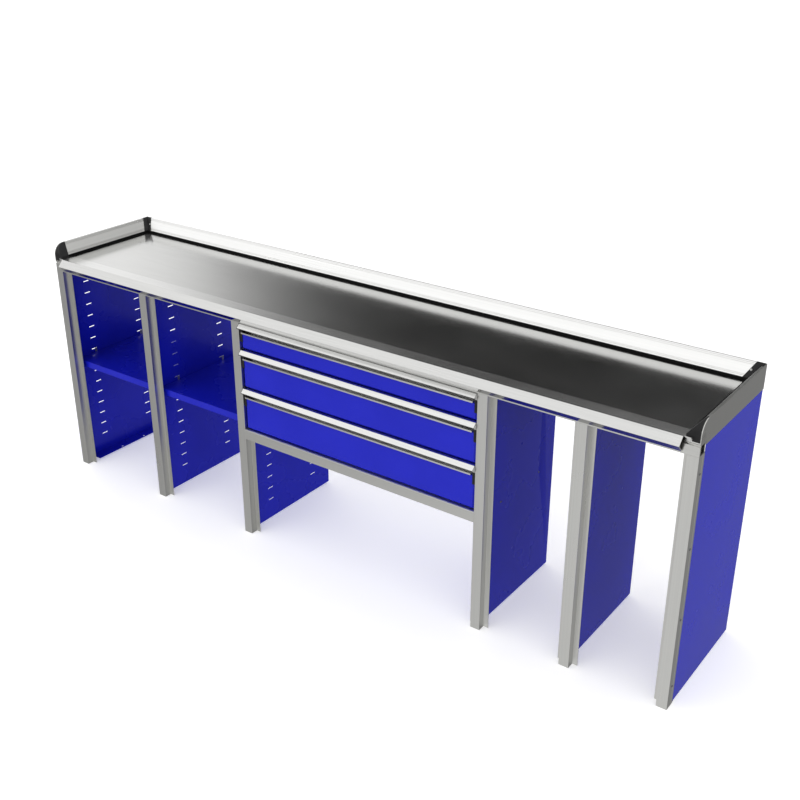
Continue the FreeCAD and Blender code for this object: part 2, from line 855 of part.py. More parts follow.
def drawer_box(number):
    body = new_body(f"drawer_box_{number}")
    height = drawer_heights[number - 1] - box_lift - box_drop
    block = pad(body, "XY_Plane", [rectangle(0, 0, box_width, box_length)], height)
    hollowed(body, block, (0, 0, 1), box_sheet)
    left = drawer_left + (drawer_width - box_width) / 2
    top = drawer_tops[number - 1]
    place(body, left, box_front, top - box_drop - height)
    return body


def drawer_handle(number):
    """A full-width extrusion: top plate, sloped nose and back plate, open below for the fingers."""
    body = new_body(f"drawer_handle_{number}")
    back = nose_reach + box_front
    skin = handle_wall * slant
    foot = front_drop - nose_drop
    outline = [
        (back, 0), (back, front_drop), (nose_reach, front_drop), (0, foot),
        (0, foot - handle_wall), (skin, foot - handle_wall),
        (nose_reach + handle_wall * (slant - 1), front_drop - handle_wall),
        (back - handle_wall, front_drop - handle_wall), (back - handle_wall, 0),
    ]
    pad(body, "YZ_Plane", [outline], front_width - handle_wall * 2)
    top = drawer_tops[number - 1]
    place(body, drawer_left + drawer_side_gap + handle_wall, 0 - nose_reach, top - front_drop)
    return body


def handle_end(number, right):
    """A plate over the handle's end, with a block inside it and a short leg down beside the front."""
    body = new_body("handle_end")
    width = end_block
    skin = handle_wall * slant
    low = end_leg_length
    roof = low + front_drop - handle_wall
    back = nose_reach + box_front - handle_wall
    knee = low + front_drop - nose_drop - handle_wall
    chin = knee - handle_wall
    shoulder = nose_reach + handle_wall * (slant - 1)
    fill = [(skin, chin), (back, low), (back, roof), (shoulder, roof), (skin, knee)]
    pad(body, "YZ_Plane", [fill], width)
    edge = nose_reach + box_front
    brow = low + front_drop
    plate = [(edge, low), (edge, brow), (nose_reach, brow), (0, brow - nose_drop), (0, chin)]
    pad(body, "YZ_Plane", [plate], handle_wall, offset=width - handle_wall if right else as_size(0))
    leg_front = nose_reach + front_setback - handle_wall
    leg = rectangle(leg_front, 0, leg_front + handle_wall, knee)
    offset = width - end_leg_width if right else as_size(0)
    pad(body, "YZ_Plane", [leg], end_leg_width, offset=offset)
    left = drawer_left + drawer_side_gap
    if right:
        left = left + front_width - width
    top = drawer_tops[number - 1]
    place(body, left, 0 - nose_reach, top - front_drop - low)
    return body


def latch_bar(number):
    """A thin angle under the handle, lifted by the fingers to free the drawer."""
    body = new_body(f"latch_bar_{number}")
    depth = latch_reach + box_front - handle_wall - latch_clearance * 2
    outline = [
        (0, 0), (latch_sheet, 0), (latch_sheet, latch_lip - latch_sheet),
        (depth, latch_lip - latch_sheet), (depth, latch_lip), (0, latch_lip),
    ]
    length = front_width - end_block * 2 - latch_clearance * 2
    pad(body, "YZ_Plane", [outline], length)
    top = drawer_tops[number - 1]
    left = drawer_left + drawer_side_gap + end_block + latch_clearance
    place(body, left, 0 - latch_reach, top - latch_height - latch_lip)
    return body


# Runners

def carrier(right):
    """A hat-shaped plate that brings the runners inboard of the uprights' flanges."""
    body = new_body("drawer_carrier_right" if right else "drawer_carrier_left")
    bay_edge = drawer_left + drawer_width if right else drawer_left
    if right:
        panel_face = post_left[3] + panel_offset
        depth = panel_face - (bay_edge - carrier_reach - carrier_sheet)
    else:
        panel_face = post_left[2] + panel_offset + panel_sheet
        depth = bay_edge + carrier_reach + carrier_sheet - panel_face
    span = slot_back - slot_front + carrier_foot
    outline = [
        (0, 0), (carrier_sheet, 0), (carrier_sheet, carrier_foot - carrier_sheet),
        (depth, carrier_foot - carrier_sheet), (depth, span - carrier_foot + carrier_sheet),
        (carrier_sheet, span - carrier_foot + carrier_sheet), (carrier_sheet, span), (0, span),
        (0, span - carrier_foot), (depth - carrier_sheet, span - carrier_foot),
        (depth - carrier_sheet, carrier_foot), (0, carrier_foot),
    ]
    height = middle_panel_top - panel_sheet - carrier_gap - carrier_low
    pad(body, "XY_Plane", [handed(outline, depth, right)], height)
    doc.recompute()
    sketch = empty_sketch(body, "YZ_Plane")
    for column in (carrier_foot / 2, span - carrier_foot / 2):
        for height in carrier_screw_rows:
            draw_circle(sketch, column, height - carrier_low, screw_radius)
    pocket(body, sketch)
    left = panel_face - depth if right else panel_face
    place(body, left, slot_front - carrier_foot / 2, carrier_low)
    return body


def channel(low, high, left, right, web_right):
    """The section of one runner member: a C with its web on one side."""
    web = runner_sheet
    outline = [
        (left, low), (right, low), (right, low + web), (left + web, low + web),
        (left + web, high - web), (right, high - web), (right, high), (left, high),
    ]
    if web_right:
        return [(left + right - x, z) for x, z in outline]
    return outline


def runner_section(member):
    """Sections of the three members, nested with a small gap all round."""
    step = runner_sheet + runner_clearance
    if member == "outer":
        return channel(as_size(0), runner_height, as_size(0), runner_thickness - step, False)
    if member == "middle":
        return channel(step, runner_height - step, step, runner_thickness - step, False)
    low = step * 2
    return channel(low, runner_height - low, low, runner_thickness, True)


def runner(member, number):
    """A left and right pair of one runner member."""
    label = f"runner_{member}_{number}"
    pair = []
    lift = drawer_tops[number - 1] - drawer_heights[number - 1] + box_lift + runner_lift
    for right in (False, True):
        body = new_body("member")
        pad(body, "XZ_Plane", [handed(runner_section(member), runner_thickness, right)], runner_length)
        reach = carrier_reach + carrier_sheet
        left = drawer_left + reach
        if right:
            left = drawer_left + drawer_width - reach - runner_thickness
        place(body, left, box_front + runner_setback, lift)
        pair.append(body)
    return group(label, pair)


# Fasteners

def screw(x, y, z, outward):
    """A round head with a short shank behind it, pointing outward along the given direction."""
    direction = FreeCAD.Vector(*outward)
    turn = FreeCAD.Rotation(FreeCAD.Vector(0, 0, 1), direction)
    head = doc.addObject("Part::Cylinder", "head")
    bind(head, "Radius", screw_head)
    bind(head, "Height", screw_head_height)
    shank = doc.addObject("Part::Cylinder", "shank")
    bind(shank, "Radius", screw_radius - screw_clearance)
    bind(shank, "Height", screw_length)
    for part in (head, shank):
        part.Placement = FreeCAD.Placement(FreeCAD.Vector(0, 0, 0), turn)
    place(head, x, y, z)
    depth = screw_length
    place(
        shank, as_size(x) - depth * direction.x, as_size(y) - depth * direction.y,
        as_size(z) - depth * direction.z,
    )
    whole = doc.addObject("Part::MultiFuse", "screw")
    whole.Shapes = [head, shank]
    return whole


def upright_screws():
    screws = []
    for i in range(upright_screw_count):
        height = screw_first + screw_pitch * i
        screws.append(screw(0, screw_inset, height, (-1, 0, 0)))
        screws.append(screw(total_length, screw_inset, height, (1, 0, 0)))
    return group("upright_screws", screws)


def carrier_screws():
    left_face = post_left[2] + panel_offset
    right_face = post_left[3] + panel_offset + panel_sheet
    screws = []
    for column in (slot_front, slot_back):
        for height in carrier_screw_rows:
            screws.append(screw(left_face, column, height, (-1, 0, 0)))
            screws.append(screw(right_face, column, height, (1, 0, 0)))
    return group("carrier_screws", screws)


def corner_screws():
    """One screw in the back slope of each corner block."""
    rise = (upstand_foot + upstand_height) / 2
    back = worktop_back - (upstand_depth + upstand_top) / 2 - corner_proud
    slope = (upstand_height - upstand_foot).number
    lean = (upstand_depth - upstand_top).number
    length = (slope * slope + lean * lean) ** 0.5
    outward = (0, -slope / length, lean / length)
    inset = side_plate + (corner_top + corner_base) / 2 - screw_head * 2
    screws = [
        screw(inset, back, tray_top + rise, outward),
        screw(total_length - inset, back, tray_top + rise, outward),
    ]
    return group("corner_screws", screws)


def build():
    """Every piece of the bench, in the order it goes together."""
    pieces = [upright(number) for number in range(1, 7)]
    pieces += [end_panel(1)]
    pieces += [middle_panel(number) for number in range(2, 6)]
    pieces += [end_panel(6), front_top_rail(), rear_top_rail(), drawer_bottom_rail()]
    pieces += [worktop_board(), worktop_tray(), tray_seal(), back_upstand()]
    for right in (False, True):
        pieces += [side_upstand(right), corner_block(right), end_cap(right), side_cover(right)]
    pieces += [shelf(1), shelf(2), shelf_clips(), carrier(False), carrier(True)]
    for number in (1, 2, 3):
        pieces += [drawer_front(number), drawer_box(number), drawer_handle(number)]
        ends = [handle_end(number, False), handle_end(number, True)]
        pieces += [group(f"handle_ends_{number}", ends), latch_bar(number)]
        pieces += [runner(member, number) for member in ("outer", "middle", "inner")]
    pieces += [upright_screws(), carrier_screws(), corner_screws()]
    return pieces


pieces = build()
doc.recompute()

faults = []
for thing in doc.Objects:
    if "Invalid" in thing.State or "Error" in thing.State:
        faults.append(f"{thing.Label}: {thing.State}")
for piece in pieces:
    if piece.Shape.isNull() or not piece.Shape.isValid() or not piece.Shape.Solids:
        faults.append(f"{piece.Label}: no valid solid")
if faults:
    raise RuntimeError("; ".join(faults))

os.makedirs("parts", exist_ok=True)
for piece in pieces:
    piece.Shape.exportStep(f"parts/{piece.Label}.step")
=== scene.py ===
import json
import math

import bmesh
import bpy
from mathutils import Matrix, Vector


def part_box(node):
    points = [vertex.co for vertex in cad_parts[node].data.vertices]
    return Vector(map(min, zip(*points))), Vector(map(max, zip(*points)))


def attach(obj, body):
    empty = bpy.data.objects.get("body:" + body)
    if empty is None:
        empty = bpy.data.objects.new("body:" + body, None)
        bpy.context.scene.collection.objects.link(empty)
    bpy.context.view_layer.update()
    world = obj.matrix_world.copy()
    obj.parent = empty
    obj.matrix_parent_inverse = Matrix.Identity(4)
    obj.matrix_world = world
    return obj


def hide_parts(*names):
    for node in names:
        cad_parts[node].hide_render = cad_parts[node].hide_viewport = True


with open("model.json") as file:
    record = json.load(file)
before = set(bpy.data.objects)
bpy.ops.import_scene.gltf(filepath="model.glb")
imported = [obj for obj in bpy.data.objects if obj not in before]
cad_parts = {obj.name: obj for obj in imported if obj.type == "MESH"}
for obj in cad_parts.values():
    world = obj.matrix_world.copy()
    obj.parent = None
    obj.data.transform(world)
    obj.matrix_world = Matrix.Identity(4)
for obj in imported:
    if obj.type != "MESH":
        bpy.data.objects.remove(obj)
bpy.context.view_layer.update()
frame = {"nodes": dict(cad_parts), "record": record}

NODES = frame["nodes"]
MM = 0.001
DRAWERS = (1, 2, 3)
UPRIGHTS = range(1, 7)
WELD = 0.01 * MM


# Shader building

def new_material(name):
    """A material with its principled shader and an empty board to add nodes to."""
    material = bpy.data.materials.new(name)
    material.use_nodes = True
    return material, material.node_tree, material.node_tree.nodes["Principled BSDF"]


def scaled_position(tree, scale=(1, 1, 1), turn=(0, 0, 0)):
    """Object coordinates, stretched by a scale along each axis."""
    coordinates = tree.nodes.new("ShaderNodeTexCoord")
    mapping = tree.nodes.new("ShaderNodeMapping")
    mapping.inputs["Scale"].default_value = scale
    mapping.inputs["Rotation"].default_value = turn
    tree.links.new(coordinates.outputs["Object"], mapping.inputs["Vector"])
    return mapping.outputs["Vector"]


def noise(tree, position, scale, detail=3, roughness=0.5):
    node = tree.nodes.new("ShaderNodeTexNoise")
    node.inputs["Scale"].default_value = scale
    node.inputs["Detail"].default_value = detail
    node.inputs["Roughness"].default_value = roughness
    tree.links.new(position, node.inputs["Vector"])
    return node.outputs["Fac"]


def cells(tree, position, scale, output="Distance"):
    node = tree.nodes.new("ShaderNodeTexVoronoi")
    node.inputs["Scale"].default_value = scale
    tree.links.new(position, node.inputs["Vector"])
    return node.outputs[output]


def remap(tree, value, low, high, start=0.3, end=0.7):
    """A pattern's value brought between two levels."""
    node = tree.nodes.new("ShaderNodeMapRange")
    node.inputs["From Min"].default_value = start
    node.inputs["From Max"].default_value = end
    node.inputs["To Min"].default_value = low
    node.inputs["To Max"].default_value = high
    tree.links.new(value, node.inputs["Value"])
    return node.outputs["Result"]


def tint(tree, value, dark, light, start=0.3, end=0.7):
    """A pattern's value turned into a colour between two shades."""
    node = tree.nodes.new("ShaderNodeValToRGB")
    node.color_ramp.elements[0].position = start
    node.color_ramp.elements[0].color = (*dark, 1)
    node.color_ramp.elements[1].position = end
    node.color_ramp.elements[1].color = (*light, 1)
    tree.links.new(value, node.inputs["Fac"])
    return node.outputs["Color"]


def bump(tree, shader, height, distance, strength=1.0, before=None):
    node = tree.nodes.new("ShaderNodeBump")
    node.inputs["Distance"].default_value = distance
    node.inputs["Strength"].default_value = strength
    tree.links.new(height, node.inputs["Height"])
    if before is not None:
        tree.links.new(before, node.inputs["Normal"])
    tree.links.new(node.outputs["Normal"], shader.inputs["Normal"])
    return node.outputs["Normal"]


def shaded(colour, factor):
    return tuple(channel * factor for channel in colour)


def along_scale(axis, along, across):
    """A stretch that draws lines along one axis."""
    return tuple(along if letter == axis else across for letter in "XYZ")


# Finishes

def drawn_aluminium(name, axis, colour, roughness=0.3):
    """Satin anodised extrusion: faint die lines along its length and a soft bloom."""
    material, tree, shader = new_material(name)
    lines = noise(tree, scaled_position(tree, along_scale(axis, 0.6, 260)), 1.0, 4, 0.6)
    bloom = noise(tree, scaled_position(tree, along_scale(axis, 2, 9)), 1.0, 3)
    grain = noise(tree, scaled_position(tree), 2600, 2)
    tree.links.new(tint(tree, lines, shaded(colour, 0.93), colour), shader.inputs["Base Color"])
    shader.inputs["Metallic"].default_value = 1
    tree.links.new(remap(tree, bloom, roughness - 0.04, roughness + 0.05), shader.inputs["Roughness"])
    first = bump(tree, shader, lines, 0.00004, 0.5)
    bump(tree, shader, grain, 0.00001, 0.4, before=first)
    return material


def beyond(tree, axis, place, softness=0.0004):
    """One side of a plane across an axis, as a mask that goes from 1 below the place to 0 above it."""
    coordinates = tree.nodes.new("ShaderNodeTexCoord")
    split = tree.nodes.new("ShaderNodeSeparateXYZ")
    tree.links.new(coordinates.outputs["Object"], split.inputs["Vector"])
    return remap(tree, split.outputs[axis], 1, 0, place - softness, place + softness)


def blend(tree, mask, plain, masked, colour=False):
    """Two values or two colours mixed by a mask."""
    node = tree.nodes.new("ShaderNodeMix")
    node.data_type = "RGBA" if colour else "FLOAT"
    kind = "RGBA" if colour else "VALUE"
    inputs = [socket for socket in node.inputs if socket.type == kind and socket.name in "AB"]
    tree.links.new(mask, node.inputs[0])
    for socket, source in zip(inputs, (plain, masked)):
        tree.links.new(source, socket)
    return next(socket for socket in node.outputs if socket.type == kind)


def brushed_stainless(name, band_back, band_front):
    """Worktop sheet: brushed along its length, with hairline scratches, and a lighter band painted near its
    front as a highlight, where it is also rougher.
    """
    material, tree, shader = new_material(name)
    strokes = noise(tree, scaled_position(tree, (5, 620, 620)), 1.0, 5, 0.65)
    hairs = noise(tree, scaled_position(tree, (14, 1500, 200), (0, 0, 0.35)), 1.0, 2)
    handling = noise(tree, scaled_position(tree, (1.3, 2.1, 2)), 1.6, 4, 0.55)
    strip = tree.nodes.new("ShaderNodeMath")
    strip.operation = "SUBTRACT"
    tree.links.new(beyond(tree, "Y", band_back), strip.inputs[0])
    tree.links.new(beyond(tree, "Y", band_front), strip.inputs[1])
    band = strip.outputs[0]
    sheet = tint(tree, strokes, (0.56, 0.56, 0.55), (0.64, 0.64, 0.63))
    # painted highlight: a lighter colour on the band near the front edge, standing in for the light it
    # catches there
    painted_highlight = tint(tree, strokes, (0.66, 0.66, 0.65), (0.74, 0.74, 0.73))
    tree.links.new(blend(tree, band, sheet, painted_highlight, colour=True), shader.inputs["Base Color"])
    shader.inputs["Metallic"].default_value = 1
    polish = remap(tree, handling, 0.13, 0.18)
    rub = remap(tree, handling, 0.19, 0.24)
    tree.links.new(blend(tree, band, polish, rub), shader.inputs["Roughness"])
    first = bump(tree, shader, strokes, 0.00001, 0.3)
    bump(tree, shader, remap(tree, hairs, 0, 1, 0.72, 0.78), 0.00001, 0.3, before=first)
    return material


def powder_coat(name, colour, roughness=0.26):
    """Blue coat on folded sheet: orange peel, slight pooling and a clear skin."""
    material, tree, shader = new_material(name)
    peel = noise(tree, scaled_position(tree), 420, 2, 0.45)
    fine = noise(tree, scaled_position(tree), 1900, 2)
    pool = noise(tree, scaled_position(tree), 5, 3)
    tree.links.new(tint(tree, pool, shaded(colour, 0.94), shaded(colour, 1.04)), shader.inputs["Base Color"])
    tree.links.new(remap(tree, pool, roughness - 0.03, roughness + 0.04), shader.inputs["Roughness"])
    shader.inputs["Coat Weight"].default_value = 0.06
    shader.inputs["Coat Roughness"].default_value = 0.12
    shader.inputs["Specular IOR Level"].default_value = 0.22
    first = bump(tree, shader, peel, 0.00012, 0.22)
    bump(tree, shader, fine, 0.00003, 0.2, before=first)
    return material


def moulded_plastic(name, colour=(0.010, 0.010, 0.0105)):
    """Black moulding with a fine spark-eroded grain."""
    material, tree, shader = new_material(name)
    grain = cells(tree, scaled_position(tree), 1500)
    flow = noise(tree, scaled_position(tree), 30, 3)
    tree.links.new(tint(tree, flow, shaded(colour, 0.8), shaded(colour, 1.3)), shader.inputs["Base Color"])
    tree.links.new(remap(tree, flow, 0.36, 0.46), shader.inputs["Roughness"])
    shader.inputs["Specular IOR Level"].default_value = 0.2
    bump(tree, shader, grain, 0.00006, 0.35)
    return material


def seal_rubber(name):
    """Dull black rubber, drawn in long faint lines."""
    material, tree, shader = new_material(name)
    lines = noise(tree, scaled_position(tree, (3, 3, 900)), 1.0, 3)
    dust = noise(tree, scaled_position(tree), 700, 4, 0.6)
    tree.links.new(
        tint(tree, dust, (0.002, 0.002, 0.002), (0.005, 0.005, 0.005)), shader.inputs["Base Color"]
    )
    tree.links.new(remap(tree, dust, 0.6, 0.75), shader.inputs["Roughness"])
    shader.inputs["Specular IOR Level"].default_value = 0.08
    bump(tree, shader, lines, 0.0001, 0.4)
    return material


def zinc_plate(name, colour=(0.50, 0.50, 0.49)):
    """Plated steel with small crystals that catch the light one by one."""
    material, tree, shader = new_material(name)
    crystals = cells(tree, scaled_position(tree), 160, "Color")
    mottle = noise(tree, scaled_position(tree), 60, 3)
    tree.links.new(tint(tree, crystals, shaded(colour, 0.85), colour), shader.inputs["Base Color"])
    shader.inputs["Metallic"].default_value = 1
    tree.links.new(remap(tree, mottle, 0.3, 0.42), shader.inputs["Roughness"])
    bump(tree, shader, mottle, 0.00005, 0.3)
    return material


def screw_steel(name):
    """Dark plated screws, turned in rings too fine to see one by one."""
    material, tree, shader = new_material(name)
    wear = noise(tree, scaled_position(tree), 900, 3)
    tree.links.new(
        tint(tree, wear, (0.10, 0.10, 0.11), (0.20, 0.20, 0.21)), shader.inputs["Base Color"]
    )
    shader.inputs["Metallic"].default_value = 1
    tree.links.new(remap(tree, wear, 0.3, 0.45), shader.inputs["Roughness"])
    bump(tree, shader, wear, 0.00003, 0.4)
    return material


def pressed_board(name):
    """Chipboard core: flat chips of several browns, pressed together."""
    material, tree, shader = new_material(name)
    flat_chips = scaled_position(tree, (120, 120, 420))
    chips = cells(tree, flat_chips, 1.0, "Color")
    edges = cells(tree, flat_chips, 1.0)
    tree.links.new(
        tint(tree, chips, (0.22, 0.13, 0.065), (0.52, 0.36, 0.20), 0.1, 0.9),
        shader.inputs["Base Color"],
    )
    tree.links.new(remap(tree, edges, 0.7, 0.9), shader.inputs["Roughness"])
    bump(tree, shader, edges, 0.0002, 0.5)
    return material


BLUE = (0.005, 0.009, 0.42)
SILVER = (0.62, 0.62, 0.60)
# painted shade: SILVER made darker for the sideways faces of the side upstands
SHADED_SIDE_SILVER = (0.55, 0.55, 0.535)
# painted highlight: SILVER made paler for the back upstand, standing in for the bright reflection on its
# inner face
LIT_PALE_SILVER = (0.84, 0.84, 0.83)
# Y limits of the painted highlight band along the tray's front edge
PAINTED_HIGHLIGHT_BAND = (-0.209, -0.262)

FINISHES = {
    "upright_aluminium": drawn_aluminium("upright_satin", "Z", SILVER),
    "rail_aluminium": drawn_aluminium("rail_satin", "X", SILVER),
    # the back upstand gets the paler aluminium, a painted highlight
    "lit_back_upstand_aluminium": drawn_aluminium("back_upstand_painted_light", "X", LIT_PALE_SILVER),
    # the side upstands get the darker aluminium, a painted shade
    "upstand_aluminium": drawn_aluminium("side_upstand_painted_shade", "Y", SHADED_SIDE_SILVER),
    # painted shade: the side plates get a darker aluminium colour for their outward faces, which lie in shade
    "plate_aluminium": drawn_aluminium("side_plate_painted_shade", "Y", (0.55, 0.55, 0.53)),
    "handle_aluminium": drawn_aluminium("handle_satin", "X", (0.74, 0.74, 0.73), 0.24),
    "latch_aluminium": drawn_aluminium("latch_satin", "X", (0.66, 0.66, 0.66), 0.24),
    "panel_paint": powder_coat("panel_blue", BLUE),
    "shelf_paint": powder_coat("shelf_blue", BLUE),
    "front_paint": powder_coat("front_blue", BLUE, 0.22),
    "box_paint": powder_coat("box_blue", BLUE, 0.3),
    "tray_steel": brushed_stainless("tray_brushed", *PAINTED_HIGHLIGHT_BAND),
    "board_wood": pressed_board("board_chips"),
    "seal_rubber": seal_rubber("seal_black"),
    "cap_plastic": moulded_plastic("cap_black"),
    "handle_plastic": moulded_plastic("handle_end_black"),
    "clip_steel": zinc_plate("clip_zinc"),
    "carrier_steel": zinc_plate("carrier_zinc"),
    "runner_steel": zinc_plate("runner_zinc", (0.58, 0.58, 0.57)),
    "screw_steel": screw_steel("screw_dark"),
}
SLOT_OF = {part["node"]: part["material_slot"] for part in frame["record"]["subparts"]}


def finish_of(node):
    slot = SLOT_OF[node]
    # the back upstand is given the paler aluminium copy, a painted highlight
    if node == "upstand_back":
        slot = "lit_back_upstand_aluminium"
    return FINISHES[slot]


# Pieces from the frame

def own_piece(name, mesh, body, slot, finish, *nodes):
    """Add a finished mesh as a piece that rides on a body and stands for its nodes."""
    piece = bpy.data.objects.new(name, mesh)
    bpy.context.scene.collection.objects.link(piece)
    mesh.materials.clear()
    mesh.materials.append(finish)
    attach(piece, body)
    if nodes:
        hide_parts(*nodes)
    return piece


def body_of_node(node):
    for body, members in frame["record"]["behaviour"]["bodies"].items():
        if node in members:
            return body
    raise KeyError(node)


FOLD_ANGLE = math.radians(25)
SHADE_ANGLE = math.radians(15)
EASE_STEPS = 2
FLAT_ANGLE = 0.01


def eased(node, width):
    """The node's shape with its sharp edges eased, as real folds and extrusions are."""
    mesh = NODES[node].data.copy()
    board = bmesh.new()
    board.from_mesh(mesh)
    bmesh.ops.remove_doubles(board, verts=board.verts, dist=WELD)
    bmesh.ops.dissolve_limit(board, angle_limit=FLAT_ANGLE, verts=board.verts, edges=board.edges)
    board.to_mesh(mesh)
    board.free()
    work = bpy.data.objects.new("work", mesh)
    bpy.context.scene.collection.objects.link(work)
    softener = work.modifiers.new("Ease", "BEVEL")
    softener.width = width
    softener.segments = EASE_STEPS
    softener.limit_method = "ANGLE"
    softener.angle_limit = FOLD_ANGLE
    softener.use_clamp_overlap = True
    softener.harden_normals = True
    graph = bpy.context.evaluated_depsgraph_get()
    result = bpy.data.meshes.new_from_object(work.evaluated_get(graph))
    bpy.data.objects.remove(work)
    for face in result.polygons:
        face.use_smooth = True
    result.set_sharp_from_angle(angle=SHADE_ANGLE)
    return own_piece(f"{node}.eased", result, body_of_node(node), SLOT_OF[node], finish_of(node), node)


EASED = {
    "front_top_rail": 0.6 * MM,
    "rear_top_rail": 0.6 * MM,
    "drawer_bottom_rail": 0.6 * MM,
    "worktop_tray": 0.5 * MM,
    "upstand_back": 0.35 * MM,
    "upstand_left": 0.35 * MM,
    "upstand_right": 0.35 * MM,
    "corner_block_left": 1.5 * MM,
    "corner_block_right": 1.5 * MM,
    "end_cap_left": 1.5 * MM,
    "end_cap_right": 1.5 * MM,
    "side_plate_left": 0.4 * MM,
    "side_plate_right": 0.4 * MM,
    "tray_seal": 1.8 * MM,
    "shelf_1": 0.8 * MM,
    "shelf_2": 0.8 * MM,
}
for number in UPRIGHTS:
    EASED[f"upright_{number}"] = 0.5 * MM
    EASED[f"side_panel_{number}"] = 0.3 * MM
EASED["shelf_clips"] = 0.2 * MM
for number in DRAWERS:
    EASED[f"drawer_front_{number}"] = 0.7 * MM
    EASED[f"drawer_handle_{number}"] = 0.5 * MM
    EASED[f"handle_ends_{number}"] = 0.6 * MM
    EASED[f"latch_bar_{number}"] = 0.3 * MM

for node, width in EASED.items():
    eased(node, width)


# Light grey plates over the ends of the handles

END_GREY = moulded_plastic("handle_end_grey", (0.42, 0.42, 0.41))
PLATE_PROUD = 0.08 * MM
PLATE_THICKNESS = 2 * MM
NOSE_CHAMFER = 14 * MM
NOSE_FACE = 4 * MM


def end_plates(number):
    """Both end plates of one handle: its outline, a sheet thick, just proud of the black end piece."""
    node = f"handle_ends_{number}"
    low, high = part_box(f"drawer_handle_{number}")
    ends_low, ends_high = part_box(node)
    outline = (
        (high.y, low.z), (high.y, high.z), (low.y + NOSE_CHAMFER, high.z),
        (low.y, high.z - NOSE_CHAMFER), (low.y, high.z - NOSE_CHAMFER - NOSE_FACE),
    )
    board = bmesh.new()
    for face_x, inward in ((ends_low.x - PLATE_PROUD, 1), (ends_high.x + PLATE_PROUD, -1)):
        ring = [board.verts.new((face_x, y, z)) for y, z in outline]
        face = board.faces.new(ring)
        grown = bmesh.ops.extrude_face_region(board, geom=[face])
        moved = [item for item in grown["geom"] if isinstance(item, bmesh.types.BMVert)]
        bmesh.ops.translate(board, verts=moved, vec=(inward * (PLATE_THICKNESS - PLATE_PROUD), 0, 0))
    bmesh.ops.recalc_face_normals(board, faces=board.faces)
    mesh = bpy.data.meshes.new(node)
    board.to_mesh(mesh)
    board.free()
    own_piece(f"{node}.plates", mesh, f"drawer_{number}", SLOT_OF[node], END_GREY, node)


for number in DRAWERS:
    end_plates(number)


# Screws, set out in rows and columns

HEAD = 4.5 * MM
HEAD_HEIGHT = 1.6 * MM
HEAD_TOP_SHARE = 0.78
HEAD_SIDES = 28
SHANK_SIDES = 12
SOCKET_SIDES = 6
SOCKET_LIFT = 0.9
SCREW_FINISH = FINISHES["screw_steel"]


